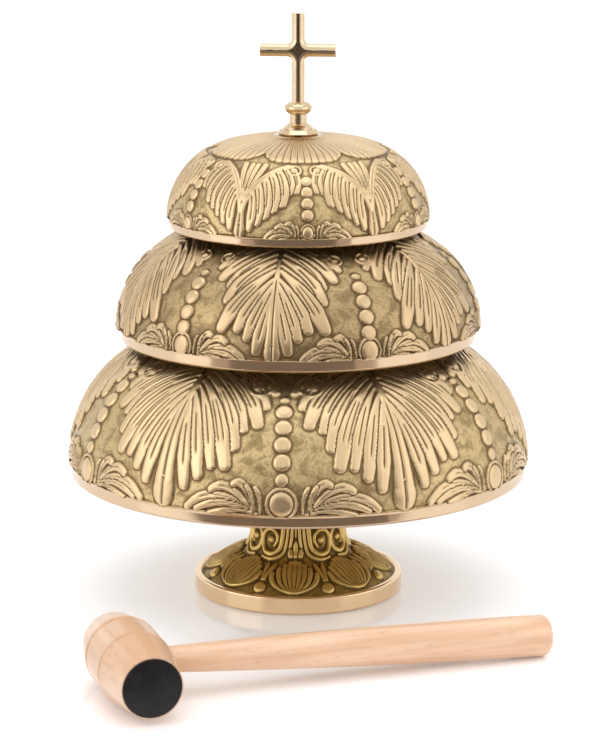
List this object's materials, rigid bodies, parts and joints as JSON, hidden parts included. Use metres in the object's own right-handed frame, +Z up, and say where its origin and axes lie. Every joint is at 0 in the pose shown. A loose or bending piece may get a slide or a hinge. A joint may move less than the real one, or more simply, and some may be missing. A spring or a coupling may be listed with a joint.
{
  "type": "altar gong bell",
  "caption": "Altar bell of three cast bowls stacked on a footed stem, with a screw-off cross finial and a wooden mallet.",
  "frame": {"origin": "middle of the felt under the foot, where the bell stands on the altar", "axes": "+Z up along the stem, -Y to the front, where the mallet lies, +X to the right"},
  "size_m": [0.2539, 0.3575, 0.3133],
  "materials": {
    "cast_brass": "cast relief, patinated ground, satin high points",
    "polished_brass": "polished",
    "turned_brass": "as turned",
    "steel": "zinc plated",
    "felt": "pressed wool felt",
    "beech": "clear satin lacquer",
    "rubber": "matt black"
  },
  "bodies": {
    "stand": {"pedestal_foot": "cast_brass", "foot_felt": "felt", "base_plate": "steel", "lower_stem": "turned_brass", "tie_rod": "steel", "rod_nut": "steel", "rod_washer": "steel", "spacer_middle": "turned_brass", "spacer_upper": "turned_brass", "cup_large": "turned_brass", "bush_large": "turned_brass", "felt_under_large": "felt", "felt_over_large": "felt", "cup_middle": "turned_brass", "bush_middle": "turned_brass", "felt_under_middle": "felt", "felt_over_middle": "felt", "cup_small": "turned_brass", "bush_small": "turned_brass", "felt_under_small": "felt", "felt_over_small": "felt"},
    "bowl_large": {"bowl_large": "cast_brass"},
    "bowl_middle": {"bowl_middle": "cast_brass"},
    "bowl_small": {"bowl_small": "cast_brass"},
    "collar": {"finial_collar": "polished_brass"},
    "cross": {"cross": "polished_brass"},
    "mallet": {"mallet_head": "beech", "mallet_handle": "beech", "mallet_striker": "rubber"}
  },
  "joints": [
    {"name": "large_bowl_turn", "type": "hinge", "parent": "stand", "child": "bowl_large", "pos_m": [0, 0, 0.11], "axis": [0, 0, 1], "continuous": true},
    {"name": "middle_bowl_turn", "type": "hinge", "parent": "stand", "child": "bowl_middle", "pos_m": [0, 0, 0.18], "axis": [0, 0, 1], "continuous": true},
    {"name": "small_bowl_turn", "type": "hinge", "parent": "stand", "child": "bowl_small", "pos_m": [0, 0, 0.225], "axis": [0, 0, 1], "continuous": true},
    {"name": "collar_rise", "type": "slide", "parent": "stand", "child": "collar", "axis": [0, 0, 1], "range_m": [0, 0.009]},
    {"name": "cross_turn", "type": "hinge", "parent": "collar", "child": "cross", "pos_m": [0, 0, 0.2924], "axis": [0, 0, 1], "range_deg": [0, 3240.1]},
    {"name": "mallet_lift", "type": "slide", "parent": "stand", "child": "mallet", "axis": [0, 0, 1], "range_m": [0, 0.35]}
  ],
  "couplings": [
    {"joint": "cross_turn", "follows": "collar_rise", "rad_per_m": 6283.2}
  ]
}
